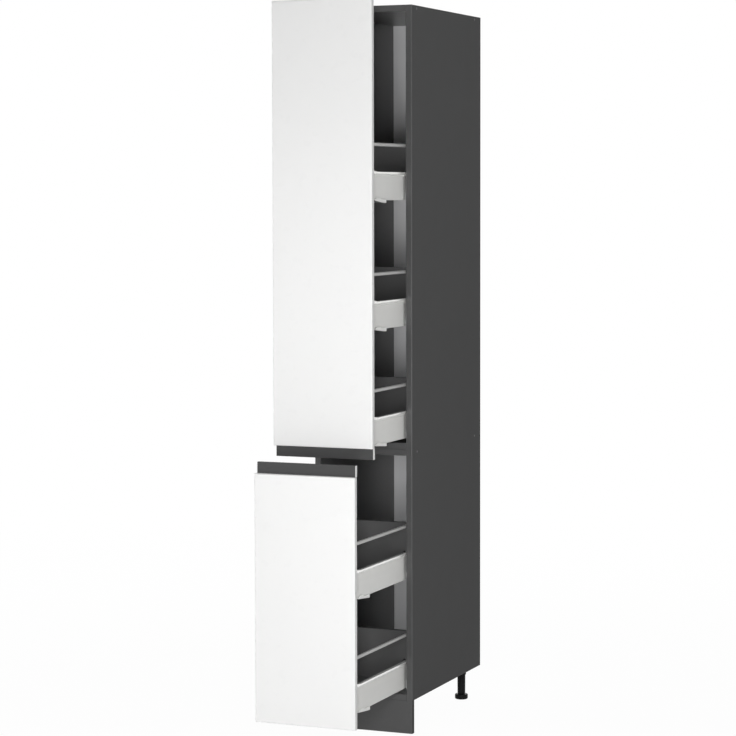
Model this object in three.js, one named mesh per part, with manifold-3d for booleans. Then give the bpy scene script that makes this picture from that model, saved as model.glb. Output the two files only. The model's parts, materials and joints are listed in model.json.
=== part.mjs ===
// Pull-out larder unit: a tall 300 mm cabinet on legs, with two handleless fronts that each draw out a stack of
// metal-sided drawers on concealed telescopic runners. The model shows both stacks partly drawn out.
// Millimetres, +X right, -Y towards the user, +Z up from the floor. The pieces are made with Y = 0 at the front
// edge of the carcass; the last lines move the unit so that its origin lies under the middle of its box.
import * as THREE from 'three';
import { mergeVertices } from 'three/addons/utils/BufferGeometryUtils.js';
import Module from 'manifold-3d';

const wasm = await Module();
wasm.setup();

// ---- Carcass ----
const unitWidth = 300;
const unitHeight = 2068;
const unitDepth = 570;
const panelThickness = 18; // side, top and bottom panels
const shelfThickness = 18; // each of the two boards between the compartments
const backThickness = 3;
const backRebate = 8; // how far the back panel reaches into each side panel
const shelfUnderside = 797; // underside of the board pair above the floor
const plinthHeight = 95;
const plinthThickness = 16;

// ---- Legs ----
const legSetIn = 38; // leg axis from the outer face of the side panel
const frontLegSetBack = 45;
const rearLegSetIn = 63;
const legPlateSize = 58;
const legPlateThickness = 5;
const legPlateCorner = 8;
const legCollarRadius = 14.5;
const legCollarHeight = 16;
const legTubeRadius = 11.8;
const legFootRadius = 19.7;
const legFootHeight = 16;
const legFootRounding = 3;
const plinthClipWidth = 26;
const plinthClipHeight = 22;
const plinthClipLevel = 40;
const plinthClipGap = 0.3; // between the clip and the leg tube it grips

// ---- Fronts and grip strips ----
const frontThickness = 16;
const frontReveal = 1.75; // a front's side edge from the outer face of its side panel
const frontTopReveal = 2;
const frontBottomReveal = 1;
const frontRounding = 2.5;
const gripMeetingLevel = 812.5; // halfway between the two grip strips
const gripMeetingGap = 3;
const gripReach = 30.5; // how far a strip stands out past the edge of its front
const gripSetBack = 14; // from the face of the front to the face of the strip
const gripThickness = 11;
const gripSideInset = 3;
const gripFlangeHeight = 28;
const gripFlangeThickness = 2.5;
const closedGap = 1.5; // grip strip to carcass when a front is shut

// ---- Pull-outs ----
const upperDrawnOut = 264; // from shut to the pose shown
const lowerDrawnOut = 390;

// ---- Drawers ----
const drawerLength = 450; // from the back of the front to the rear face of the drawer
const lowerClearance = 15.5; // underside of drawer 5 above the bottom panel
const upperClearance = 12.5; // underside of drawer 3 above the middle boards
const lowerPitch = 312; // drawer 5 to drawer 4
const upperPitchLow = 320; // drawer 3 to drawer 2
const upperPitchHigh = 355.5; // drawer 2 to drawer 1
const sideHeight = 78.5;
const sideThickness = 13.5;
const lipOverhang = 8; // the top lip past the outer wall
const lipClearance = 1; // the top lip to the side panel
const lipHeight = 5.5;
const lipCrestWidth = 9;
const lipStep = 2.5;
const lipStepHeight = 6;
const shoulderDrop = 9; // fall from the crest to the inner wall
const sheet = 1.5; // wall of the rolled drawer side
const floorFlange = 14.5;
const floorThickness = 16;
const floorGap = 0.3; // floor and back board to the drawer sides
const floorSetBack = 3; // floor's front edge behind the front panel
const backBoardThickness = 16;
const backBoardRise = 82.3; // back board's top above the drawer side
const frontCapLength = 70;
const frontCapRise = 13;
const clipSetBack = 59; // release clip behind the front panel
const clipLength = 82;
const clipDrop = 7.5; // lowest point of its slanted underside, at the rear
const clipRise = 7;
const clipWidth = 5;
const clipHeel = 6; // upright rear end of the clip, along the drawer

// ---- Gallery rails ----
const railRise = 74.5; // rail axis above the drawer side
const railRadius = 4.9;
const railFlangeRadius = 7.5;
const railFlangeThickness = 3;
const railPostDepth = 12; // along the drawer
const railPostWall = 1.2; // post round the rail's end
const railEndSetIn = 2; // rail's end inside the post

// ---- Telescopic runners ----
const channelHeight = 36; // open channel under the drawer side that covers the runner
const runnerGap = 0.5; // running clearance between nested members
const middleSheet = 1.3;
const middleLength = 430;
const middleLipGap = 0.8; // middle member's lips to the stem
const middleBottom = 3;
const cabinetSheet = 1.5;
const headHeight = 5.5;
const runnerInset = 2; // front end of the cabinet member behind the carcass edge
const webDrop = 10; // web of the cabinet member under the drawer side
const webCutBack = 40; // web and lower flange cut away at the member's front end
const wallFlangeHeight = 34;
const screwSlotRadius = 2.6;
const screwSlotLength = 9;
const screwSlotPitch = 192;

// ---- Finishes ----
const finish = (color, roughness, metalness = 0) => new THREE.MeshStandardMaterial({ color, roughness, metalness });
const anthracite = finish(0x464646, 0.55);
const backGrey = finish(0xa9a9ab, 0.5);
const frontWhite = finish(0xf4f4f2, 0.25);
const sideGrey = finish(0xbcbcb8, 0.45, 0.2);
const railGrey = finish(0x9b9b9b, 0.35, 0.6);
const runnerZinc = finish(0x8f9294, 0.4, 0.8);
const legBlack = finish(0x1c1c1c, 0.6);

// ---- Derived places ----
const halfUnit = unitWidth / 2;
const halfInside = halfUnit - panelThickness;
const backFace = unitDepth - backThickness;
const bottomTop = plinthHeight + panelThickness;
const shelfTop = shelfUnderside + 2 * shelfThickness;
const frontHalfWidth = halfUnit - frontReveal;
const gripBack = gripSetBack + gripThickness;
const frontFace = -closedGap - gripBack; // face of a shut front
const frontBack = frontFace + frontThickness;
const upperFrontBottom = gripMeetingLevel + gripMeetingGap / 2 + gripReach;
const lowerFrontTop = gripMeetingLevel - gripMeetingGap / 2 - gripReach;
const lipOuter = halfInside - lipClearance;
const sideOuter = lipOuter - lipOverhang;
const sideInner = sideOuter - sideThickness;
const crestMiddle = lipOuter - 1 - lipCrestWidth / 2;
const channelOuter = sideOuter - sheet;
const channelInner = sideInner + sheet;
const channelMiddle = (channelOuter + channelInner) / 2;
const drawerBack = frontBack + drawerLength;

// ---- Helpers ----
const asVectors = (points) => points.map(([u, v]) => new THREE.Vector2(u, v));

// An outline given for the right-hand piece, mirrored for the left-hand one with its winding kept.
function handed(points, sign) {
  const mirrored = points.map(([x, z]) => [sign * x, z]);
  return asVectors(sign > 0 ? mirrored : mirrored.reverse());
}

// Outline in (X, Y), raised from zLow.
function extrudeZ(shape, zLow, height) {
  return new THREE.ExtrudeGeometry(shape, { depth: height, bevelEnabled: false, curveSegments: 6 }).translate(0, 0, zLow);
}

// Outline in (Y, Z), drawn out along X from xLow.
function extrudeX(shape, xLow, width) {
  const geometry = extrudeZ(shape, xLow, width);
  return geometry.applyMatrix4(new THREE.Matrix4().set(0, 0, 1, 0, 1, 0, 0, 0, 0, 1, 0, 0, 0, 0, 0, 1));
}

// Outline in (X, Z), drawn out along Y from yFront.
function extrudeY(shape, yFront, length) {
  const geometry = extrudeZ(shape, -yFront - length, length);
  return geometry.applyMatrix4(new THREE.Matrix4().set(1, 0, 0, 0, 0, 0, -1, 0, 0, 1, 0, 0, 0, 0, 0, 1));
}

function box(xLow, xHigh, yLow, yHigh, zLow, zHigh) {
  const geometry = new THREE.BoxGeometry(xHigh - xLow, yHigh - yLow, zHigh - zLow);
  return geometry.translate((xLow + xHigh) / 2, (yLow + yHigh) / 2, (zLow + zHigh) / 2);
}

// A rod along +Y that starts at yFront.
function rod(x, yFront, z, radius, length) {
  const geometry = new THREE.CylinderGeometry(radius, radius, length, 16);
  return geometry.translate(x, yFront + length / 2, z);
}

function roundedSquare(size, corner) {
  const half = size / 2;
  const shape = new THREE.Shape();
  shape.moveTo(-half + corner, -half);
  shape.absarc(half - corner, -half + corner, corner, -Math.PI / 2, 0);
  shape.absarc(half - corner, half - corner, corner, 0, Math.PI / 2);
  shape.absarc(-half + corner, half - corner, corner, Math.PI / 2, Math.PI);
  shape.absarc(-half + corner, -half + corner, corner, Math.PI, 1.5 * Math.PI);
  return shape;
}

function toSolid(geometry) {
  const bare = geometry.clone();
  bare.deleteAttribute('normal');
  bare.deleteAttribute('uv');
  const merged = mergeVertices(bare, 1e-4);
  const index = merged.index.array;
  const triangles = [];
  for (let i = 0; i < index.length; i += 3) {
    const [a, b, c] = [index[i], index[i + 1], index[i + 2]];
    if (a !== b && b !== c && c !== a) triangles.push(a, b, c);
  }
  const mesh = new wasm.Mesh({
    numProp: 3,
    vertProperties: new Float32Array(merged.attributes.position.array),
    triVerts: new Uint32Array(triangles),
  });
  return new wasm.Manifold(mesh);
}

function toGeometry(solid) {
  const mesh = solid.getMesh();
  const geometry = new THREE.BufferGeometry();
  geometry.setAttribute('position', new THREE.BufferAttribute(new Float32Array(mesh.vertProperties), 3));
  geometry.setIndex(new THREE.BufferAttribute(new Uint32Array(mesh.triVerts), 1));
  return geometry;
}

const join = (first, ...others) => toGeometry(others.reduce((sum, next) => sum.add(toSolid(next)), toSolid(first)));
const cut = (body, ...tools) => toGeometry(tools.reduce((left, tool) => left.subtract(toSolid(tool)), toSolid(body)));

function add(group, name, geometry, material) {
  const mesh = new THREE.Mesh(geometry, material);
  mesh.name = name;
  group.add(mesh);
  return mesh;
}

// ---- Carcass ----
function sidePanel(sign) {
  // Flat board, rebated along its rear inner edge for the back panel.
  const outer = sign * halfUnit;
  const inner = sign * halfInside;
  const rebate = sign * (halfInside + backRebate);
  const outline = [[outer, 0], [outer, unitDepth], [rebate, unitDepth], [rebate, backFace], [inner, backFace], [inner, 0]];
  return extrudeZ(new THREE.Shape(asVectors(outline)), plinthHeight, unitHeight - plinthHeight);
}

function plinthBoard() {
  // Board under the carcass edge, with two clips behind it that grip the front legs.
  const pieces = [box(-halfUnit, halfUnit, 0, plinthThickness, 0, plinthHeight)];
  const grip = legTubeRadius + plinthClipGap;
  for (const sign of [-1, 1]) {
    const x = sign * (halfUnit - legSetIn);
    const half = plinthClipWidth / 2;
    const clip = new THREE.Shape();
    clip.moveTo(x - half, plinthThickness - 1);
    clip.lineTo(x + half, plinthThickness - 1);
    clip.lineTo(x + half, frontLegSetBack);
    clip.lineTo(x + grip, frontLegSetBack);
    clip.absarc(x, frontLegSetBack, grip, 0, -Math.PI, true);
    clip.lineTo(x - half, frontLegSetBack);
    pieces.push(extrudeZ(clip, plinthClipLevel, plinthClipHeight));
  }
  return join(...pieces);
}

function makeCarcass() {
  const carcass = new THREE.Group();
  add(carcass, 'side_panel_left', sidePanel(-1), anthracite);
  add(carcass, 'side_panel_right', sidePanel(1), anthracite);
  const board = (zLow, zHigh) => box(-halfInside, halfInside, 0, backFace, zLow, zHigh);
  add(carcass, 'top_panel', board(unitHeight - panelThickness, unitHeight), anthracite);
  add(carcass, 'middle_shelf', board(shelfUnderside, shelfTop), anthracite);
  add(carcass, 'bottom_panel', board(plinthHeight, bottomTop), anthracite);
  const halfBack = halfInside + backRebate;
  add(carcass, 'back_panel', box(-halfBack, halfBack, backFace, unitDepth, plinthHeight, unitHeight), backGrey);
  add(carcass, 'plinth_board', plinthBoard(), anthracite);
  return carcass;
}

// ---- Legs ----
function legGeometry() {
  // Screw foot, tube and collar turned about one axis, under a mounting plate.
  const collarBottom = plinthHeight - legPlateThickness - legCollarHeight;
  const profile = asVectors([
    [0, 0], [legFootRadius - legFootRounding, 0], [legFootRadius - 0.3 * legFootRounding, 0.3 * legFootRounding],
    [legFootRadius, legFootRounding], [legFootRadius, legFootHeight - legFootRounding],
    [legFootRadius - 0.3 * legFootRounding, legFootHeight - 0.3 * legFootRounding],
    [legFootRadius - legFootRounding, legFootHeight], [legTubeRadius + 0.5, legFootHeight],
    [legTubeRadius, legFootHeight + 2], [legTubeRadius, collarBottom], [legCollarRadius, collarBottom + 2],
    [legCollarRadius, plinthHeight - legPlateThickness / 2], [0, plinthHeight - legPlateThickness / 2],
  ]);
  const turned = new THREE.LatheGeometry(profile, 24).rotateX(Math.PI / 2);
  const plate = extrudeZ(roundedSquare(legPlateSize, legPlateCorner), plinthHeight - legPlateThickness, legPlateThickness);
  return join(turned, plate);
}

function makeLegs() {
  const legs = new THREE.Group();
  const rows = { front: frontLegSetBack, rear: unitDepth - rearLegSetIn };
  for (const [row, y] of Object.entries(rows)) {
    for (const [side, sign] of [['left', -1], ['right', 1]]) {
      add(legs, `leg_${row}_${side}`, legGeometry(), legBlack).position.set(sign * (halfUnit - legSetIn), y, 0);
    }
  }
  return legs;
}

// ---- Fronts ----
function frontPanel(zLow, zHigh) {
  // Slab with all its edges rounded over.
  const round = frontRounding;
  const halfWidth = frontHalfWidth - round;
  const outline = [[-halfWidth, zLow + round], [halfWidth, zLow + round], [halfWidth, zHigh - round], [-halfWidth, zHigh - round]];
  const slab = new THREE.ExtrudeGeometry(new THREE.Shape(asVectors(outline)), {
    depth: frontThickness - 2 * round,
    bevelThickness: round,
    bevelSize: round,
    bevelSegments: 3,
  });
  return slab.rotateX(Math.PI / 2).translate(0, frontBack - round, 0);
}

function gripStrip(edge, direction) {
  // Finger strip set back under or over its front's edge, with a flange screwed behind the front.
  const tip = edge + direction * gripReach;
  const bar = (halfWidth, yLow, yHigh, zA, zB) =>
    box(-halfWidth, halfWidth, frontFace + yLow, frontFace + yHigh, Math.min(zA, zB), Math.max(zA, zB));
  const flangeHalfWidth = sideInner - floorFlange - 1;
  const flangeEnd = edge - direction * gripFlangeHeight;
  const blade = bar(frontHalfWidth - gripSideInset, gripSetBack, gripBack, edge, tip);
  const flange = bar(flangeHalfWidth, frontThickness, frontThickness + gripFlangeThickness, tip, flangeEnd);
  return join(blade, flange);
}

// ---- Drawers ----
// Rolled double-wall side: open channel below for the runner, closed cell above, lip along the top. Z = 0 is the
// underside of the drawer.
function sideSection(sign) {
  const top = sideHeight;
  const stepTop = top - lipHeight - 1;
  const stepBottom = stepTop - lipStepHeight;
  const stepOuter = sideOuter + lipStep;
  const crestOuter = lipOuter - 1;
  const crestInner = crestOuter - lipCrestWidth;
  const section = new THREE.Shape(handed([
    [channelOuter, 0], [sideOuter + 0.8, 0], [sideOuter + 0.8, 3], [sideOuter, 3.8],
    [sideOuter, stepBottom - 1], [stepOuter, stepBottom], [stepOuter, stepTop], [lipOuter, stepTop + 1],
    [lipOuter, top - 1], [crestOuter, top], [crestInner, top], [crestInner - 2, top - 0.6],
    [sideInner + 1, top - shoulderDrop + 1.2], [sideInner, top - shoulderDrop - 0.8],
    [sideInner, sheet], [sideInner - floorFlange, sheet], [sideInner - floorFlange, 0],
    [channelInner, 0], [channelInner, channelHeight], [channelOuter, channelHeight],
  ], sign));
  const cellFloor = channelHeight + sheet;
  section.holes.push(new THREE.Path(handed([
    [channelOuter, cellFloor], [channelOuter, stepBottom - 0.3], [stepOuter - sheet, stepBottom + 0.7],
    [stepOuter - sheet, stepTop + 0.7], [lipOuter - sheet, stepTop + 1 + sheet], [lipOuter - sheet, top - sheet - 0.4],
    [crestInner, top - sheet], [channelInner, top - shoulderDrop - 1.6], [channelInner, cellFloor],
  ], sign)));
  return section;
}

function drawerSide(sign) {
  const profile = extrudeY(sideSection(sign), frontBack, drawerLength);
  // Cap that sweeps the lip up to the back of the front.
  const crestInner = crestMiddle - lipCrestWidth / 2;
  const sweep = new THREE.Shape();
  sweep.moveTo(frontBack, sideHeight - 1);
  sweep.lineTo(frontBack + frontCapLength, sideHeight - 1);
  sweep.lineTo(frontBack + frontCapLength, sideHeight - 0.2);
  sweep.quadraticCurveTo(
    frontBack + 0.4 * frontCapLength, sideHeight + 0.35 * frontCapRise, frontBack, sideHeight + frontCapRise);
  const capLow = sign > 0 ? crestInner : -crestInner - lipCrestWidth;
  const cap = extrudeX(sweep, capLow, lipCrestWidth);
  // Release clip beside the underside.
  const clipFront = frontBack + clipSetBack;
  const clipBack = clipFront + clipLength;
  const clip = new THREE.Shape(asVectors([
    [clipFront, 1.5], [clipFront + 2, -0.3], [clipBack - clipHeel, -clipDrop], [clipBack - 1, -clipDrop],
    [clipBack, 1 - clipDrop], [clipBack, 1], [clipBack - clipHeel, 2], [clipBack - 0.45 * clipLength, 2.5],
    [clipBack - 0.55 * clipLength, clipRise], [clipFront + 0.15 * clipLength, clipRise],
  ]));
  const clipLow = sign > 0 ? channelOuter + 0.5 : -channelOuter - 0.5 - clipWidth;
  return join(profile, cap, extrudeX(clip, clipLow, clipWidth));
}

function galleryRail(sign) {
  // Round rail with a flange at the front and a post at the rear that stands on the drawer side.
  const x = sign * crestMiddle;
  const z = sideHeight + railRise;
  const rail = rod(x, frontBack, z, railRadius, drawerLength - railEndSetIn);
  const flange = rod(x, frontBack, z, railFlangeRadius, railFlangeThickness);
  const half = railRadius + railPostWall;
  const foot = lipCrestWidth / 2;
  const post = new THREE.Shape();
  post.moveTo(x - foot, sideHeight);
  post.lineTo(x + foot, sideHeight);
  post.lineTo(x + foot - 1, z - half);
  post.absarc(x, z, half, -Math.PI / 3, 4 * Math.PI / 3, false);
  post.lineTo(x - foot + 1, z - half);
  return join(rail, flange, extrudeY(post, drawerBack - railPostDepth, railPostDepth));
}

function floorAndBack() {
  // Floor board and the back board that stands on it, one L in section.
  const yFront = frontBack + floorSetBack;
  const floorTop = sheet + floorThickness;
  const outline = [
    [yFront, sheet], [drawerBack, sheet], [drawerBack, sideHeight + backBoardRise],
    [drawerBack - backBoardThickness, sideHeight + backBoardRise], [drawerBack - backBoardThickness, floorTop],
    [yFront, floorTop],
  ];
  const halfWidth = sideInner - floorGap;
  return extrudeX(new THREE.Shape(asVectors(outline)), -halfWidth, 2 * halfWidth);
}

function makeDrawer(number, level) {
  const drawer = new THREE.Group();
  for (const [side, sign] of [['left', -1], ['right', 1]]) {
    add(drawer, `drawer_${number}_side_${side}`, drawerSide(sign), sideGrey);
    add(drawer, `drawer_${number}_rail_${side}`, galleryRail(sign), railGrey);
  }
  add(drawer, `drawer_${number}_floor_and_back`, floorAndBack(), anthracite);
  drawer.position.z = level;
  return drawer;
}

// ---- Runners ----
// Inverted channel that rides on the cabinet member's head, inside the drawer side.
function middleMember(sign) {
  const outer = (channelOuter - channelInner) / 2 - runnerGap;
  const inner = outer - middleSheet;
  const lip = cabinetSheet / 2 + middleLipGap;
  const top = channelHeight - runnerGap;
  const section = asVectors([
    [-outer, middleBottom], [-lip, middleBottom], [-lip, middleBottom + middleSheet], [-inner, middleBottom + middleSheet],
    [-inner, top - middleSheet], [inner, top - middleSheet], [inner, middleBottom + middleSheet],
    [lip, middleBottom + middleSheet], [lip, middleBottom], [outer, middleBottom], [outer, top], [-outer, top],
  ]);
  return extrudeY(new THREE.Shape(section), runnerInset, middleLength).translate(sign * channelMiddle, 0, 0);
}

// Flange on the carcass side, web under the drawer side, and a stem with the head that carries the middle member.
function cabinetMember(sign) {
  const halfStem = cabinetSheet / 2;
  const halfHead = (channelOuter - channelInner) / 2 - 2 * runnerGap - middleSheet;
  const headTop = channelHeight - 2 * runnerGap - middleSheet;
  const wall = halfInside;
  const webTop = -webDrop + cabinetSheet;
  const flangeTop = -webDrop + wallFlangeHeight;
  const section = handed([
    [wall, -webDrop], [wall, flangeTop], [wall - cabinetSheet, flangeTop], [wall - cabinetSheet, webTop],
    [channelMiddle + halfStem, webTop], [channelMiddle + halfStem, headTop - headHeight],
    [channelMiddle + halfHead, headTop - headHeight + 1], [channelMiddle + halfHead, headTop],
    [channelMiddle - halfHead, headTop], [channelMiddle - halfHead, headTop - headHeight + 1],
    [channelMiddle - halfStem, headTop - headHeight], [channelMiddle - halfStem, -webDrop],
  ], sign);
  const profile = extrudeY(new THREE.Shape(section), runnerInset, drawerLength);
  // Screw slots through the wall flange, on the carcass drilling pitch.
  const slots = [];
  const slotLevel = (flangeTop + webTop) / 2 + 4;
  for (let y = runnerInset + 35; y < runnerInset + drawerLength - 20; y += screwSlotPitch) {
    const xLow = sign > 0 ? wall - cabinetSheet - 1 : -wall - 1;
    const half = screwSlotLength / 2 - screwSlotRadius;
    const slot = new THREE.Shape();
    slot.moveTo(y - half, slotLevel - screwSlotRadius);
    slot.absarc(y + half, slotLevel, screwSlotRadius, -Math.PI / 2, Math.PI / 2, false);
    slot.absarc(y - half, slotLevel, screwSlotRadius, Math.PI / 2, 1.5 * Math.PI, false);
    slots.push(extrudeX(slot, xLow, cabinetSheet + 2));
  }
  // Front end cut away up to the drawer's underside.
  const [xNear, xFar] = [channelMiddle - halfStem - 1, wall + 1];
  const notch = box(
    Math.min(sign * xNear, sign * xFar), Math.max(sign * xNear, sign * xFar),
    runnerInset - 1, runnerInset + webCutBack, -webDrop - 1, 0);
  return cut(profile, notch, ...slots);
}

function makeRunners(number, level, part, member, drawnOut) {
  const runners = new THREE.Group();
  add(runners, `runner_${number}_${part}_left`, member(-1), runnerZinc);
  add(runners, `runner_${number}_${part}_right`, member(1), runnerZinc);
  runners.position.set(0, -drawnOut, level);
  return runners;
}

// ---- The two pull-outs ----
function makePullout(label, zLow, zHigh, gripEdge, gripDirection, levels, firstNumber, drawnOut) {
  const stack = new THREE.Group();
  const moving = new THREE.Group();
  add(moving, `${label}_front`, frontPanel(zLow, zHigh), frontWhite);
  add(moving, `${label}_grip_strip`, gripStrip(gripEdge, gripDirection), anthracite);
  levels.forEach((level, i) => {
    const number = firstNumber + i;
    moving.add(makeDrawer(number, level));
    stack.add(makeRunners(number, level, 'middle', middleMember, drawnOut / 2));
    stack.add(makeRunners(number, level, 'cabinet', cabinetMember, 0));
  });
  moving.position.y = -drawnOut;
  stack.add(moving);
  return stack;
}

const drawer3Level = shelfTop + upperClearance;
const drawer2Level = drawer3Level + upperPitchLow;
const drawer1Level = drawer2Level + upperPitchHigh;
const drawer5Level = bottomTop + lowerClearance;
const drawer4Level = drawer5Level + lowerPitch;
const upperLevels = [drawer1Level, drawer2Level, drawer3Level];
const lowerLevels = [drawer4Level, drawer5Level];

const larder = new THREE.Group();
larder.add(makeCarcass());
larder.add(makeLegs());
larder.add(makePullout(
  'upper', upperFrontBottom, unitHeight - frontTopReveal, upperFrontBottom, -1, upperLevels, 1, upperDrawnOut));
larder.add(makePullout(
  'lower', plinthHeight + frontBottomReveal, lowerFrontTop, lowerFrontTop, 1, lowerLevels, 4, lowerDrawnOut));

// Origin on the floor under the middle of the box, from the face of the further drawn front to the back.
const nearest = frontFace - Math.max(upperDrawnOut, lowerDrawnOut);
larder.position.y = -(nearest + unitDepth) / 2;

export default larder;
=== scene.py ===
import json
import math

import bpy
from mathutils import Euler, Matrix, Vector

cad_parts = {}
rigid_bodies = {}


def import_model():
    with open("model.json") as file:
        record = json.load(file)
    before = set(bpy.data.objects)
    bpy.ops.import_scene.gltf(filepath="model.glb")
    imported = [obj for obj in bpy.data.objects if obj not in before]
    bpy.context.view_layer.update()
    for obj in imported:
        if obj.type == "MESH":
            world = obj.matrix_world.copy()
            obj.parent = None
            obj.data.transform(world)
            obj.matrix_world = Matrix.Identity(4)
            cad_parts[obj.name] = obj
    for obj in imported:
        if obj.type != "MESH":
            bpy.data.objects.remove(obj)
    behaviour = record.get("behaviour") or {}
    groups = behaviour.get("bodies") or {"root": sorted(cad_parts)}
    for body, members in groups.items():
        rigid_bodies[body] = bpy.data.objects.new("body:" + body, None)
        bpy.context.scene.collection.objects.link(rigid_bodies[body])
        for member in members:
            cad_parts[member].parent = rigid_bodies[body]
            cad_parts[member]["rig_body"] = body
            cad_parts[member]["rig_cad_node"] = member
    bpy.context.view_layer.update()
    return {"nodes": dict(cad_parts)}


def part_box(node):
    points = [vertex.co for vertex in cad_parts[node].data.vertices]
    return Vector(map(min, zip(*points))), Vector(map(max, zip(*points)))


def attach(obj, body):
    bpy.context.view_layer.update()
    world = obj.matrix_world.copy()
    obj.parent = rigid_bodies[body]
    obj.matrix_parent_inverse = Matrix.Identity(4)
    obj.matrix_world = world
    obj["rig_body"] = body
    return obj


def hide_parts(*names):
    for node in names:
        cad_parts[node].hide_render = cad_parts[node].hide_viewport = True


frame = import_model()
mm = 0.001
facing = 0.9  # a face looks along an axis when its normal reaches this share of it
upright = 0.99  # the same for an edge along Z
sides = {"left": -1, "right": 1}
drawerBodies = {
    1: "upper_pullout",
    2: "upper_pullout",
    3: "upper_pullout",
    4: "lower_pullout",
    5: "lower_pullout",
}
print("frame loaded,", len(frame["nodes"]), "nodes")


# modelling helpers

def activate(piece):
    bpy.ops.object.select_all(action="DESELECT")
    piece.select_set(True)
    bpy.context.view_layer.objects.active = piece


def applyPlace(piece):
    activate(piece)
    bpy.ops.object.transform_apply(location=True, rotation=True, scale=True)


def applyModifier(piece, kind, **settings):
    activate(piece)
    modifier = piece.modifiers.new(kind, kind)
    for key, value in settings.items():
        setattr(modifier, key, value)
    bpy.ops.object.modifier_apply(modifier=modifier.name)


def copyNode(node, name):
    # the CAD node stays as it is, and its copy becomes one clean closed mesh
    activate(frame["nodes"][node])
    bpy.ops.object.duplicate()
    piece = bpy.context.object
    piece.name = name
    piece.parent = None
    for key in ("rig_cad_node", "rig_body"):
        del piece[key]
    piece.data.materials.clear()
    bpy.ops.object.mode_set(mode="EDIT")
    bpy.ops.mesh.select_all(action="SELECT")
    bpy.ops.mesh.remove_doubles(threshold=0.002 * mm)
    bpy.ops.mesh.dissolve_limited(angle_limit=math.radians(0.5))
    bpy.ops.mesh.normals_make_consistent(inside=False)
    bpy.ops.object.mode_set(mode="OBJECT")
    return piece


def addBlock(name, low, high):
    low, high = Vector(low), Vector(high)
    bpy.ops.mesh.primitive_cube_add(size=1, location=(low + high) / 2)
    piece = bpy.context.object
    piece.name = name
    piece.scale = high - low
    applyPlace(piece)
    return piece


def addRod(name, start, end, radius, sideCount=48):
    start, end = Vector(start), Vector(end)
    turn = (end - start).to_track_quat("Z", "Y").to_euler()
    bpy.ops.mesh.primitive_cylinder_add(
        vertices=sideCount, radius=radius, depth=(end - start).length,
        location=(start + end) / 2, rotation=turn)
    piece = bpy.context.object
    piece.name = name
    applyPlace(piece)
    return piece


def addTurned(name, centre, profile, sideCount=64):
    # a circle drawn up the profile ring by ring, each ring scaled to its radius
    x, y = centre
    (z, radius), rest = profile[0], profile[1:]
    bpy.ops.mesh.primitive_circle_add(
        vertices=sideCount, radius=radius, fill_type="NGON", location=(x, y, z))
    piece = bpy.context.object
    piece.name = name
    applyPlace(piece)
    bpy.ops.object.mode_set(mode="EDIT")
    bpy.ops.mesh.select_all(action="SELECT")
    for nextZ, nextRadius in rest:
        bpy.ops.mesh.extrude_region_move(TRANSFORM_OT_translate={"value": (0, 0, nextZ - z)})
        share = nextRadius / radius
        bpy.ops.transform.resize(value=(share, share, 1), center_override=(x, y, nextZ))
        z, radius = nextZ, nextRadius
    bpy.ops.mesh.select_all(action="SELECT")
    bpy.ops.mesh.normals_make_consistent(inside=False)
    bpy.ops.object.mode_set(mode="OBJECT")
    return piece


def combine(piece, other, operation="UNION"):
    applyModifier(piece, "BOOLEAN", object=other, operation=operation, solver="EXACT")
    bpy.data.objects.remove(other)


def shapeChosen(piece, kind, wanted, action):
    # picks edges or faces by their place and works on those alone,
    # in a select mode that doesn't spread the choice
    activate(piece)
    bpy.ops.object.mode_set(mode="EDIT")
    bpy.ops.mesh.select_mode(type=kind)
    bpy.ops.mesh.select_all(action="DESELECT")
    bpy.ops.object.mode_set(mode="OBJECT")
    for item in piece.data.edges if kind == "EDGE" else piece.data.polygons:
        item.select = wanted(item)
    bpy.ops.object.mode_set(mode="EDIT")
    action()
    bpy.ops.mesh.select_mode(type="VERT")
    bpy.ops.object.mode_set(mode="OBJECT")


def edgeEnds(piece, edge):
    return [piece.data.vertices[i].co for i in edge.vertices]


def isUpright(piece, edge):
    start, end = edgeEnds(piece, edge)
    return abs((end - start).normalized().z) > upright


def isAtFront(piece, edge, frontY):
    return all(end.y < frontY + mm for end in edgeEnds(piece, edge))


def cutSeam(piece, place, direction):
    # a line of edges round the piece, where one finish ends and the next begins
    activate(piece)
    bpy.ops.object.mode_set(mode="EDIT")
    bpy.ops.mesh.select_all(action="SELECT")
    bpy.ops.mesh.bisect(plane_co=place, plane_no=direction)
    bpy.ops.object.mode_set(mode="OBJECT")


def shadeFlats(piece, angle=40):
    # smooth over the rounded edges, flat on the large faces
    activate(piece)
    bpy.ops.object.shade_smooth_by_angle(angle=math.radians(angle))
    applyModifier(piece, "WEIGHTED_NORMAL", keep_sharp=True, weight=80)


def roundEdges(piece, width, segments=3, fromAngle=35):
    applyModifier(
        piece, "BEVEL", width=width, segments=segments,
        limit_method="ANGLE", angle_limit=math.radians(fromAngle))
    shadeFlats(piece)


def copyPiece(piece, name, place, turn=(0, 0, 0)):
    # a copy with a mesh of its own
    activate(piece)
    bpy.ops.object.duplicate(linked=False)
    twin = bpy.context.object
    twin.name = name
    twin.rotation_euler = turn
    twin.location = place
    applyPlace(twin)
    return twin


def paint(piece, finish):
    piece.data.materials.clear()
    piece.data.materials.append(finish)


def paintFaces(piece, finish, chosen):
    # chosen(centre, normal) says which faces take this further finish
    piece.data.materials.append(finish)
    slotNumber = len(piece.data.materials) - 1
    for face in piece.data.polygons:
        if chosen(face.center, face.normal):
            face.material_index = slotNumber


def settle(piece, body, slotName, *nodes):
    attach(piece, body)
    if nodes:
        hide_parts(*nodes)


# finishes

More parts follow.
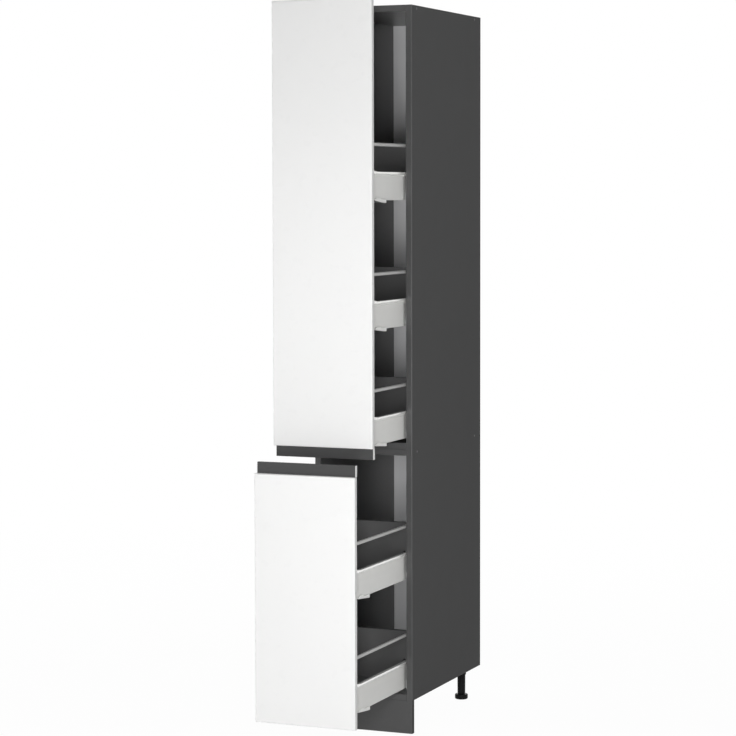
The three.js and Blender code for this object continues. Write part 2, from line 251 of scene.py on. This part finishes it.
def startFinish(name, metallic=0, specular=0.5, coat=0, coatRoughness=0.1):
    finish = bpy.data.materials.new(name)
    finish.use_nodes = True
    shader = finish.node_tree.nodes["Principled BSDF"]
    shader.inputs["Metallic"].default_value = metallic
    shader.inputs["Specular IOR Level"].default_value = specular
    shader.inputs["Coat Weight"].default_value = coat
    shader.inputs["Coat Roughness"].default_value = coatRoughness
    return finish, finish.node_tree, shader


def addNoise(tree, scale, stretch=(1, 1, 1), detail=3):
    place = tree.nodes.new("ShaderNodeTexCoord")
    mapping = tree.nodes.new("ShaderNodeMapping")
    mapping.inputs["Scale"].default_value = stretch
    noise = tree.nodes.new("ShaderNodeTexNoise")
    noise.inputs["Scale"].default_value = scale
    noise.inputs["Detail"].default_value = detail
    tree.links.new(place.outputs["Object"], mapping.inputs["Vector"])
    tree.links.new(mapping.outputs["Vector"], noise.inputs["Vector"])
    return noise.outputs["Fac"]


def spreadColour(tree, shader, source, colour, spread):
    # the colour wanders by spread, as a share, either side of its value
    mix = tree.nodes.new("ShaderNodeMix")
    mix.data_type = "RGBA"
    mix.inputs["A"].default_value = (*[c * (1 - spread) for c in colour], 1)
    mix.inputs["B"].default_value = (*[c * (1 + spread) for c in colour], 1)
    tree.links.new(source, mix.inputs["Factor"])
    tree.links.new(mix.outputs["Result"], shader.inputs["Base Color"])


def spreadRoughness(tree, shader, source, low, high):
    # a noise keeps mostly between 0.3 and 0.7, and that range is drawn out to low and high
    spread = tree.nodes.new("ShaderNodeMapRange")
    spread.inputs["From Min"].default_value = 0.3
    spread.inputs["From Max"].default_value = 0.7
    spread.inputs["To Min"].default_value = low
    spread.inputs["To Max"].default_value = high
    tree.links.new(source, spread.inputs["Value"])
    tree.links.new(spread.outputs["Result"], shader.inputs["Roughness"])


def addRelief(tree, shader, source, depth, strength):
    bump = tree.nodes.new("ShaderNodeBump")
    bump.inputs["Distance"].default_value = depth
    bump.inputs["Strength"].default_value = strength
    tree.links.new(source, bump.inputs["Height"])
    tree.links.new(bump.outputs["Normal"], shader.inputs["Normal"])


def melamine(name, colour, specular=0.03, smoothest=0.44):
    # faced chipboard: fine pearl grain, faint clouds
    finish, tree, shader = startFinish(name, specular=specular)
    grain = addNoise(tree, scale=1100, detail=2)
    spreadColour(tree, shader, addNoise(tree, scale=14), colour, spread=0.03)
    spreadRoughness(tree, shader, grain, low=smoothest, high=smoothest + 0.14)
    addRelief(tree, shader, grain, depth=0.03 * mm, strength=0.5)
    return finish


def lacquer(name, colour):
    # sprayed white, satin gloss with a trace of orange peel
    finish, tree, shader = startFinish(name, specular=0.12, coat=0.05, coatRoughness=0.12)
    spreadColour(tree, shader, addNoise(tree, scale=5), colour, spread=0.006)
    spreadRoughness(tree, shader, addNoise(tree, scale=40), low=0.26, high=0.34)
    addRelief(tree, shader, addNoise(tree, scale=420, detail=1), depth=0.02 * mm, strength=0.25)
    return finish


def edging(name, colour):
    # plastic edging, slightly uneven in gloss
    finish, tree, shader = startFinish(name, specular=0.3)
    grain = addNoise(tree, scale=600)
    spreadColour(tree, shader, grain, colour, spread=0.02)
    spreadRoughness(tree, shader, grain, low=0.35, high=0.5)
    return finish


def powderCoat(name, colour, specular, smoothest, metallic=0):
    # baked powder on steel: even colour, very fine texture
    finish, tree, shader = startFinish(name, specular=specular, metallic=metallic)
    texture = addNoise(tree, scale=1600, detail=1)
    spreadColour(tree, shader, addNoise(tree, scale=25), colour, spread=0.02)
    spreadRoughness(tree, shader, texture, low=smoothest, high=smoothest + 0.12)
    addRelief(tree, shader, texture, depth=0.02 * mm, strength=0.4)
    return finish


def drawnMetal(name, colour):
    # drawn along its length, satin
    finish, tree, shader = startFinish(name, metallic=0.1, specular=0.6)
    lines = addNoise(tree, scale=700, stretch=(1, 0.02, 1))
    spreadColour(tree, shader, lines, colour, spread=0.06)
    spreadRoughness(tree, shader, lines, low=0.26, high=0.4)
    addRelief(tree, shader, lines, depth=0.01 * mm, strength=0.5)
    return finish


def zincPlate(name, colour):
    # rolled strip with a zinc skin: cloudy spangle and faint rolling lines
    finish, tree, shader = startFinish(name, metallic=0.9)
    spangle = addNoise(tree, scale=160, detail=5)
    lines = addNoise(tree, scale=900, stretch=(1, 0.03, 1))
    spreadColour(tree, shader, spangle, colour, spread=0.14)
    spreadRoughness(tree, shader, spangle, low=0.26, high=0.44)
    addRelief(tree, shader, lines, depth=0.01 * mm, strength=0.5)
    return finish


def mouldedPlastic(name, colour, roughness):
    # spark-eroded mould texture
    finish, tree, shader = startFinish(name, specular=0.08)
    texture = addNoise(tree, scale=1300, detail=2)
    spreadColour(tree, shader, addNoise(tree, scale=60), colour, spread=0.06)
    spreadRoughness(tree, shader, texture, low=roughness - 0.06, high=roughness + 0.06)
    addRelief(tree, shader, texture, depth=0.03 * mm, strength=0.5)
    return finish


def hardboard(name, colour):
    # thin lacquered fibre board, slightly cloudy, the fibres just telling through
    finish, tree, shader = startFinish(name, specular=0.2)
    fibres = addNoise(tree, scale=380, stretch=(1, 1, 0.35), detail=5)
    spreadColour(tree, shader, addNoise(tree, scale=9), colour, spread=0.03)
    spreadRoughness(tree, shader, fibres, low=0.4, high=0.55)
    addRelief(tree, shader, fibres, depth=0.03 * mm, strength=0.5)
    return finish


finishes = {
    "board": melamine("anthracite_board", (0.071, 0.071, 0.0715)),
    # painted light: the carcass's inner faces take this lighter copy of the anthracite board, standing in
    # for light inside the carcass
    "inside": melamine("anthracite_board_inside_painted_light", (0.13, 0.13, 0.1305), specular=0.5, smoothest=0.26),
    # the edge band is its own glossier plastic; its lighter tone is painted light on faces turned to the
    # front
    "band": melamine("anthracite_edge_band_painted_light", (0.082, 0.082, 0.0825), specular=0.35, smoothest=0.26),
    "drawerBoard": melamine("drawer_board_anthracite", (0.09, 0.09, 0.0905), specular=0.2, smoothest=0.36),
    # painted shade: the plinth's ends are a darker copy of the board
    "plinthEndShade": melamine("plinth_end_painted_shade", (0.06, 0.06, 0.0605)),
    "strip": melamine("grip_strip_anthracite", (0.08, 0.08, 0.0805)),
    "white": lacquer("white_lacquer", (0.88, 0.88, 0.875)),
    "whiteSideShade": lacquer("white_lacquer_sides_painted_shade", (0.69, 0.69, 0.686)),  # painted shade: the slabs' narrow sides are a greyer copy of the lacquer
    "whiteEdging": edging("white_edging", (0.8, 0.8, 0.79)),
    "steelSide": powderCoat("drawer_side_powder_coat", (0.77, 0.77, 0.75), specular=0.15, smoothest=0.34),
    # the lip is glossier than the wall, and its lighter colour is a painted highlight along the top edge
    "lip": powderCoat(
        "drawer_lip_powder_coat", (0.93, 0.93, 0.91), specular=0.8, smoothest=0.16, metallic=0.6),
    "rail": drawnMetal("satin_rail", (0.43, 0.43, 0.425)),
    "zinc": zincPlate("zinc_plate", (0.5, 0.51, 0.52)),
    "leg": mouldedPlastic("black_leg_plastic", (0.009, 0.009, 0.009), roughness=0.45),
    "clip": mouldedPlastic("release_clip_plastic", (0.86, 0.86, 0.84), roughness=0.4),
    "cap": mouldedPlastic("cover_cap_plastic", (0.17, 0.17, 0.17), roughness=0.5),
    "back": hardboard("grey_hardboard", (0.8, 0.8, 0.81)),
}
print("finishes made,", len(finishes))


# carcass

carcass = {
    "edgeRound": 0.7 * mm,
    "boardRound": 1 * mm,
    "bandThickness": 2 * mm,  # the edge band on the front of each board
    "bandRound": 1.8 * mm,
    "bandSteps": 4,
    "capRadius": 3.6 * mm,
    "capDepth": 1.2 * mm,
    "capGap": 0.2 * mm,  # round the cap
    "capPlay": 0.05 * mm,  # under the cap, and from its face to the panel's
    "capRound": 0.3 * mm,
    "capSides": 32,
    "capFromFront": 41 * mm,
    "capFromRear": 52 * mm,
    "backRound": 0.4 * mm,
}


def capPlaces():
    # where the connecting screws of the top board and of the lower middle board show on a side panel
    low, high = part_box("side_panel_right")
    topLow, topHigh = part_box("top_panel")
    shelfLow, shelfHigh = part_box("middle_shelf")
    levels = [(topLow.z + topHigh.z) / 2, shelfLow.z + (shelfHigh.z - shelfLow.z) / 4]
    depths = [low.y + carcass["capFromFront"], high.y - carcass["capFromRear"]]
    return [(y, z) for z in levels for y in depths]


def makeSidePanels():
    for side, sign in sides.items():
        node = "side_panel_" + side
        low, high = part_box(node)
        outer = high.x if sign > 0 else low.x
        seam = low.y + carcass["bandThickness"]
        panel = copyNode(node, "board_" + node)
        shapeChosen(
            panel, "EDGE", lambda edge: isUpright(panel, edge) and isAtFront(panel, edge, low.y),
            lambda: bpy.ops.mesh.bevel(offset=carcass["bandRound"], segments=carcass["bandSteps"]))
        cutSeam(panel, (0, seam, 0), (0, 1, 0))
        for y, z in capPlaces():
            drillEnds = (outer - sign * carcass["capDepth"], y, z), (outer + sign * mm, y, z)
            drill = addRod("drill", *drillEnds, carcass["capRadius"], carcass["capSides"])
            combine(panel, drill, "DIFFERENCE")
        paint(panel, finishes["board"])
        roundEdges(panel, carcass["edgeRound"])
        # painted light: the inner face takes the lighter copy of the board
        paintFaces(panel, finishes["inside"], lambda centre, normal: sign * normal.x < -facing)
        # the front strip takes the band finish, its lighter tone painted light
        paintFaces(panel, finishes["band"], lambda centre, normal: centre.y < seam)
        settle(panel, "carcass", "carcass_board", node)
        makeCoverCaps(side, sign, outer)


def makeCoverCaps(side, sign, outer):
    radius = carcass["capRadius"] - carcass["capGap"]
    bottom = outer - sign * (carcass["capDepth"] - carcass["capPlay"])
    top = outer - sign * carcass["capPlay"]
    for number, (y, z) in enumerate(capPlaces(), 1):
        name = f"cover_cap_{side}_{number}"
        cap = addRod(name, (bottom, y, z), (top, y, z), radius, carcass["capSides"])
        roundEdges(cap, carcass["capRound"], segments=2)
        paint(cap, finishes["cap"])
        settle(cap, "carcass", "carcass_board")


def makeBoard(name, low, high, node, outward=0):
    # outward says which face is on the outside of the carcass: 1 the upper, -1 the lower, 0 neither
    seam = low[1] + carcass["bandThickness"]
    board = addBlock(name, low, high)
    cutSeam(board, (0, seam, 0), (0, 1, 0))
    # painted light: every face but the outward one takes the lighter copy of the board
    paint(board, finishes["inside"])
    roundEdges(board, carcass["boardRound"])
    paintFaces(board, finishes["board"], lambda centre, normal: outward * normal.z > facing)
    # the front strip takes the band finish, its lighter tone painted light
    paintFaces(board, finishes["band"], lambda centre, normal: centre.y < seam)
    settle(board, "carcass", "carcass_board", node)


def makeBoards():
    for node, outward in (("top_panel", 1), ("bottom_panel", -1)):
        makeBoard("board_" + node, *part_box(node), node, outward)
    low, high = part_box("middle_shelf")
    joint = (low.z + high.z) / 2
    makeBoard("board_middle_lower", low, (high.x, high.y, joint), "middle_shelf")
    makeBoard("board_middle_upper", (low.x, low.y, joint), high, "middle_shelf")


def makeBackPanel():
    back = copyNode("back_panel", "board_back_panel")
    roundEdges(back, carcass["backRound"], segments=2)
    paint(back, finishes["back"])
    settle(back, "carcass", "back_board", "back_panel")


def makePlinth():
    plinth = copyNode("plinth_board", "board_plinth")
    roundEdges(plinth, carcass["edgeRound"], segments=2)
    paint(plinth, finishes["board"])
    low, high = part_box("plinth_board")
    # painted light: the plinth's front face takes the lighter band finish
    paintFaces(plinth, finishes["band"], lambda centre, normal: normal.y < -facing)
    # painted shade: the plinth's ends take the darker copy of the board
    paintFaces(
        plinth, finishes["plinthEndShade"],
        lambda centre, normal: abs(normal.x) > facing and abs(centre.x) > high.x - mm)
    settle(plinth, "carcass", "carcass_board", "plinth_board")


makeSidePanels()
makeBoards()
makeBackPanel()
makePlinth()
print("carcass made")


# screws, modelled once and copied

screw = {
    "headRadius": 3.6 * mm,
    "headHeight": 1.7 * mm,
    "headProfile": [(0, 1), (0.55, 1), (0.82, 0.84), (1, 0.5)],  # shares of the height and of the radius
    "headSides": 24,
    "slotWidth": 1 * mm,
    "slotReach": 2.1 * mm,
    "slotDepth": 1 * mm,
}


def makeScrewHead():
    # pan head standing on the origin and facing +Z, with a cross recess
    height = screw["headHeight"]
    profile = [(level * height, share * screw["headRadius"]) for level, share in screw["headProfile"]]
    head = addTurned("screw_master", (0, 0), profile, screw["headSides"])
    half, reach, bottom = screw["slotWidth"] / 2, screw["slotReach"], height - screw["slotDepth"]
    cross = addBlock("cross", (-reach, -half, bottom), (reach, half, height + mm))
    combine(cross, addBlock("arm", (-half, -reach, bottom), (half, reach, height + mm)))
    combine(head, cross, "DIFFERENCE")
    shadeFlats(head, angle=35)
    paint(head, finishes["zinc"])
    return head


def placeScrew(name, place, direction, body):
    turn = Vector(direction).to_track_quat("Z", "Y").to_euler()
    settle(copyPiece(screwMaster, name, place, turn), body, "runner_zinc")


screwMaster = makeScrewHead()
print("screw made")


# legs

leg = {
    "rings": [  # height and radius in mm
        (0, 16.2), (0.8, 18.4), (2.4, 19.5), (4, 19.7), (12.4, 19.7), (14.2, 19.1), (15.4, 17.6), (16, 15.2),
        (16, 10.6), (18.4, 10.6), (19, 11.8), (72, 12.2), (74, 12.4), (75.6, 14.3), (90.5, 14.5),
    ],
    "edgeRound": 0.5 * mm,
    "plateThickness": 5 * mm,
    "plateCorner": 8 * mm,
    "cornerSteps": 6,
    "screwSetIn": 9 * mm,
}


def makeLegs():
    low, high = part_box("leg_front_left")
    middle = (low + high) / 2
    rings = [(height * mm, radius * mm) for height, radius in leg["rings"]]
    master = addTurned("leg_master", (middle.x, middle.y), rings)
    plate = addBlock("plate", (low.x, low.y, high.z - leg["plateThickness"]), high)
    shapeChosen(
        plate, "EDGE", lambda edge: isUpright(plate, edge),
        lambda: bpy.ops.mesh.bevel(offset=leg["plateCorner"], segments=leg["cornerSteps"]))
    combine(master, plate)
    roundEdges(master, leg["edgeRound"], segments=2, fromAngle=50)
    paint(master, finishes["leg"])
    for row in ("front", "rear"):
        for side in sides:
            node = f"leg_{row}_{side}"
            nodeLow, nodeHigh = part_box(node)
            piece = copyPiece(master, "adjustable_" + node, (nodeLow + nodeHigh) / 2 - middle)
            settle(piece, "carcass", "leg_plastic", node)
            placeLegScrews(node, nodeLow, nodeHigh)
    bpy.data.objects.remove(master)


def placeLegScrews(node, low, high):
    setIn = leg["screwSetIn"]
    level = high.z - leg["plateThickness"]
    spots = [(x, y) for x in (low.x + setIn, high.x - setIn) for y in (low.y + setIn, high.y - setIn)]
    for number, (x, y) in enumerate(spots, 1):
        placeScrew(f"screw_{node}_{number}", (x, y, level), (0, 0, -1), "carcass")


makeLegs()
print("legs made")


# fronts and grip strips

front = {
    "faceRound": 3.8 * mm,  # round the face; the back edges are only broken
    "roundSteps": 7,
    "backRound": 0.6 * mm,
    "screwPitch": 84 * mm,
    "flangeThickness": 2.5 * mm,
    "stripRound": 0.4 * mm,
    "endThickness": 0.5 * mm,  # white edging on the strip's ends
}


def makeFront(stack):
    node = stack + "_front"
    low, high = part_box(node)
    slab = addBlock("slab_" + node, low, high)
    shapeChosen(
        slab, "EDGE", lambda edge: isAtFront(slab, edge, low.y),
        lambda: bpy.ops.mesh.bevel(offset=front["faceRound"], segments=front["roundSteps"]))
    roundEdges(slab, front["backRound"], segments=2, fromAngle=50)
    paint(slab, finishes["white"])
    # painted shade: the slab's narrow sides take the greyer copy of the lacquer
    paintFaces(slab, finishes["whiteSideShade"], lambda centre, normal: abs(normal.x) > facing)
    settle(slab, stack + "_pullout", "front_white", node)


def makeGripStrip(stack):
    # anthracite bar with white edging on its ends, screwed behind the slab by its flange
    node = stack + "_grip_strip"
    low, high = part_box(node)
    edgingFrom = high.x - front["endThickness"]
    strip = copyNode(node, "strip_" + node)
    for x in (low.x + front["endThickness"], edgingFrom):
        cutSeam(strip, (x, 0, 0), (1, 0, 0))
    roundEdges(strip, front["stripRound"], segments=2)
    paint(strip, finishes["strip"])
    paintFaces(strip, finishes["whiteEdging"], lambda centre, normal: abs(centre.x) > edgingFrom)
    settle(strip, stack + "_pullout", "grip_anthracite", node)
    slabLow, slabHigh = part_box(stack + "_front")
    flangeFace = slabHigh.y + front["flangeThickness"]
    level = (high.z + slabLow.z) / 2 if stack == "upper" else (low.z + slabHigh.z) / 2
    for number, x in enumerate((-front["screwPitch"], 0, front["screwPitch"]), 1):
        placeScrew(f"screw_{node}_{number}", (x, flangeFace, level), (0, 1, 0), stack + "_pullout")


for stack in ("upper", "lower"):
    makeFront(stack)
    makeGripStrip(stack)
print("fronts made")


# drawers

drawer = {
    "bendRound": 0.45 * mm,
    "lipHeight": 5.5 * mm,
    "capRise": 13 * mm,  # the front cap stands this far above the rolled lip
    "clipDrop": 7.5 * mm,  # how far the release clip hangs below the side
    "clipMargin": 0.1 * mm,  # what lies lower than this under the side is the clip
    "boardRound": 0.6 * mm,
    "boardThickness": 16 * mm,
    "boardOverhang": 10 * mm,  # the back board is wider above the steel sides
    "overhangLift": 1 * mm,  # from the lip up to the wide part
    "railRadius": 4.9 * mm,
    "railRound": 0.6 * mm,
    "flangeRadius": 7.5 * mm,
    "flangeThickness": 3 * mm,
    "postDepth": 12 * mm,
    "postWall": 1.2 * mm,
    "postHalfWidth": 4.5 * mm,
    "postTaper": 0.78,  # width at the rail, as a share of the foot
    "railEndSetIn": 2 * mm,
}


def makeDrawerSide(number, side):
    node = f"drawer_{number}_side_{side}"
    low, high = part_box(node)
    wall = copyNode(node, "steel_" + node)
    roundEdges(wall, drawer["bendRound"], segments=2, fromAngle=25)
    paint(wall, finishes["steelSide"])
    lipBottom = high.z - drawer["capRise"] - drawer["lipHeight"]
    # painted highlight: the faces above lipBottom take the lighter lip finish
    paintFaces(wall, finishes["lip"], lambda centre, normal: centre.z > lipBottom)
    clipTop = low.z + drawer["clipDrop"] - drawer["clipMargin"]
    paintFaces(wall, finishes["clip"], lambda centre, normal: centre.z < clipTop)
    settle(wall, drawerBodies[number], "side_metal", node)


def makeRailMaster():
    # round rail with a flange at the front and a post at the rear, which tapers upwards
    low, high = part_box("drawer_1_rail_right")
    x = (low.x + high.x) / 2
    z = high.z - drawer["flangeRadius"]
    postFront = high.y - drawer["postDepth"]
    half = drawer["postHalfWidth"]
    headRadius = drawer["railRadius"] + drawer["postWall"]
    railEnd = high.y - drawer["railEndSetIn"]
    flangeEnd = low.y + drawer["flangeThickness"]
    rail = addRod("rail_master", (x, low.y, z), (x, railEnd, z), drawer["railRadius"])
    combine(rail, addRod("flange", (x, low.y, z), (x, flangeEnd, z), drawer["flangeRadius"]))
    combine(rail, addRod("post_head", (x, postFront, z), (x, high.y, z), headRadius))
    stem = addBlock("post_stem", (x - half, postFront, low.z), (x + half, high.y, z - mm))
    taper = (drawer["postTaper"], 1, 1)
    shapeChosen(
        stem, "FACE", lambda face: face.normal.z > facing,
        lambda: bpy.ops.transform.resize(value=taper, center_override=(x, postFront, z)))
    combine(rail, stem)
    roundEdges(rail, drawer["railRound"], fromAngle=50)
    paint(rail, finishes["rail"])
    return rail, low


def makeRails():
    master, masterLow = makeRailMaster()
    for number, body in drawerBodies.items():
        for side in sides:
            node = f"drawer_{number}_rail_{side}"
            piece = copyPiece(master, "gallery_" + node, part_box(node)[0] - masterLow)
            settle(piece, body, "rail_metal", node)
    bpy.data.objects.remove(master)


def makeDrawerBoards(number):
    node = f"drawer_{number}_floor_and_back"
    low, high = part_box(node)
    thickness = drawer["boardThickness"]
    rear = high.y - thickness
    floor = addBlock(f"drawer_{number}_floor_board", low, (high.x, high.y, low.z + thickness))
    back = addBlock(f"drawer_{number}_back_board", (low.x, rear, low.z + thickness), high)
    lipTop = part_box(f"drawer_{number}_side_right")[1].z - drawer["capRise"]
    wideFrom = lipTop + drawer["overhangLift"]
    over = drawer["boardOverhang"]
    combine(back, addBlock("upper_part", (low.x - over, rear, wideFrom), (high.x + over, high.y, high.z)))
    for board in (floor, back):
        roundEdges(board, drawer["boardRound"])
        paint(board, finishes["drawerBoard"])
        settle(board, drawerBodies[number], "drawer_board", node)


for number in drawerBodies:
    for side in sides:
        makeDrawerSide(number, side)
    makeDrawerBoards(number)
makeRails()
print("drawers made")


# runners

runner = {
    "bendRound": 0.25 * mm,
    "sheet": 1.5 * mm,
    "screwCount": 3,
    "screwFromFront": 35 * mm,
    "screwPitch": 192 * mm,
    "screwLevel": 21.75 * mm,  # above the member's underside
}


def makeRunners(number):
    middleBody = drawerBodies[number].replace("pullout", "runner_middles")
    for side, sign in sides.items():
        for part, body in (("cabinet", "carcass"), ("middle", middleBody)):
            node = f"runner_{number}_{part}_{side}"
            member = copyNode(node, "steel_" + node)
            roundEdges(member, runner["bendRound"], segments=2)
            paint(member, finishes["zinc"])
            settle(member, body, "runner_zinc", node)
        placeRunnerScrews(number, side, sign)


def placeRunnerScrews(number, side, sign):
    # along the wall flange of the cabinet member, heads inwards
    low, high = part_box(f"runner_{number}_cabinet_{side}")
    flangeFace = sign * (max(abs(low.x), abs(high.x)) - runner["sheet"])
    level = low.z + runner["screwLevel"]
    for place in range(runner["screwCount"]):
        y = low.y + runner["screwFromFront"] + place * runner["screwPitch"]
        name = f"screw_runner_{number}_{side}_{place + 1}"
        placeScrew(name, (flangeFace, y, level), (-sign, 0, 0), "carcass")


for number in drawerBodies:
    makeRunners(number)
bpy.data.objects.remove(screwMaster)
print("runners made")


# stage, light and camera

studio = {  # metres and watts
    "floorReach": 60,
    "floorColour": (0.92, 0.92, 0.92),
    "floorGlow": 0.97,  # near the object; further out the floor is as white as the background
    "glowFrom": 1.2,
    "glowFull": 4.5,
    "ambient": 0.07,  # the world's strength as a light
    "lamps": {
        "front": {"place": (1.15, -3.1, 0.83), "aim": (0, -0.4, 0.83), "size": (0.34, 1.4), "power": 50},
        "side": {"place": (3.6, -1.2, 1.25), "aim": (0.15, -0.1, 1.1), "size": (0.3, 1.8), "power": 14},
        "right": {"place": (2.8, -1.2, 3.4), "aim": (0.15, -0.3, 1.5), "size": (1.2, 1.2), "power": 21},
        "top": {"place": (0.5, -1.8, 4.2), "aim": (0, -0.2, 1.0), "size": (1.2, 1.2), "power": 11},
        "fill": {"place": (-1.5, -3.6, 1.3), "aim": (0, -0.4, 1.0), "size": (1.0, 1.0), "power": 18},
        "left": {"place": (-3.8, 0.8, 2.0), "aim": (0, 0, 1.0), "size": (2.6, 2.6), "power": 55},
        "rear": {"place": (-0.8, 4.2, 2.2), "aim": (0, 0, 1.0), "size": (2.6, 2.6), "power": 80},
    },
}

# fitted to the straight edges in the photograph at the model's sizes
viewpoint = {
    "place": (2.6383, -6.4147, 1.5451),
    "heading": 22.4773,
    "tilt": 3.4834,
    "roll": -0.1271,
    "sensor": 36,
    "lens": 118.128,
    "shift": -0.04,
    "clipEnd": 200,
}


def seenDirectly(tree):
    # 1 for the rays that show the background: straight, in gloss and through glass
    light = tree.nodes.new("ShaderNodeLightPath")
    total = light.outputs["Is Camera Ray"]
    for kind in ("Is Glossy Ray", "Is Transmission Ray"):
        add = tree.nodes.new("ShaderNodeMath")
        add.operation = "MAXIMUM"
        tree.links.new(total, add.inputs[0])
        tree.links.new(light.outputs[kind], add.inputs[1])
        total = add.outputs[0]
    return total


def glowShare(tree):
    # how much of the floor's own white shows, growing with the distance from the object
    place = tree.nodes.new("ShaderNodeTexCoord")
    distance = tree.nodes.new("ShaderNodeVectorMath")
    distance.operation = "LENGTH"
    spread = tree.nodes.new("ShaderNodeMapRange")
    spread.inputs["From Min"].default_value = studio["glowFrom"]
    spread.inputs["From Max"].default_value = studio["glowFull"]
    spread.inputs["To Min"].default_value = studio["floorGlow"]
    spread.inputs["To Max"].default_value = 1
    share = tree.nodes.new("ShaderNodeMath")
    share.operation = "MULTIPLY"
    tree.links.new(place.outputs["Object"], distance.inputs[0])
    tree.links.new(distance.outputs["Value"], spread.inputs["Value"])
    tree.links.new(seenDirectly(tree), share.inputs[0])
    tree.links.new(spread.outputs["Result"], share.inputs[1])
    return share.outputs[0]


def floorSurface():
    surface = bpy.data.materials.new("studio_floor_white")
    surface.use_nodes = True
    tree = surface.node_tree
    tree.nodes.clear()
    matt = tree.nodes.new("ShaderNodeBsdfDiffuse")
    matt.inputs["Color"].default_value = (*studio["floorColour"], 1)
    glow = tree.nodes.new("ShaderNodeEmission")
    mix = tree.nodes.new("ShaderNodeMixShader")
    out = tree.nodes.new("ShaderNodeOutputMaterial")
    tree.links.new(glowShare(tree), mix.inputs["Fac"])
    tree.links.new(matt.outputs["BSDF"], mix.inputs[1])
    tree.links.new(glow.outputs["Emission"], mix.inputs[2])
    tree.links.new(mix.outputs["Shader"], out.inputs["Surface"])
    return surface


def makeFloor():
    bpy.ops.mesh.primitive_plane_add(size=studio["floorReach"], location=(0, 0, 0))
    floor = bpy.context.object
    floor.name = "studio_floor"
    paint(floor, floorSurface())


def makeWorld():
    world = bpy.data.worlds.new("studio_world")
    world.use_nodes = True
    tree = world.node_tree
    background = tree.nodes["Background"]
    background.inputs["Color"].default_value = (1, 1, 1, 1)
    strength = tree.nodes.new("ShaderNodeMapRange")
    strength.inputs["To Min"].default_value = studio["ambient"]
    strength.inputs["To Max"].default_value = 1
    tree.links.new(seenDirectly(tree), strength.inputs["Value"])
    tree.links.new(strength.outputs["Result"], background.inputs["Strength"])
    bpy.context.scene.world = world


def makeLamps():
    for name, lamp in studio["lamps"].items():
        place = Vector(lamp["place"])
        turn = (Vector(lamp["aim"]) - place).to_track_quat("-Z", "Y").to_euler()
        bpy.ops.object.light_add(type="AREA", location=place, rotation=turn)
        light = bpy.context.object
        light.name = "lamp_" + name
        light.data.shape = "RECTANGLE"
        light.data.size, light.data.size_y = lamp["size"]
        light.data.energy = lamp["power"]
        light.visible_camera = False  # lights the object, and doesn't show behind it in other views


def makeCamera():
    bpy.ops.object.camera_add(location=viewpoint["place"])
    camera = bpy.context.object
    camera.name = "photo_camera"
    tilt, heading = math.radians(90 - viewpoint["tilt"]), math.radians(viewpoint["heading"])
    roll = Matrix.Rotation(math.radians(viewpoint["roll"]), 3, "Z")
    camera.rotation_euler = (Euler((tilt, 0, heading)).to_matrix() @ roll).to_euler()
    camera.data.sensor_width = viewpoint["sensor"]
    camera.data.lens = viewpoint["lens"]
    camera.data.shift_y = viewpoint["shift"]
    camera.data.clip_end = viewpoint["clipEnd"]
    bpy.context.scene.camera = camera


makeFloor()
makeWorld()
makeLamps()
makeCamera()
bpy.context.scene.view_settings.view_transform = "Standard"
print("studio made")
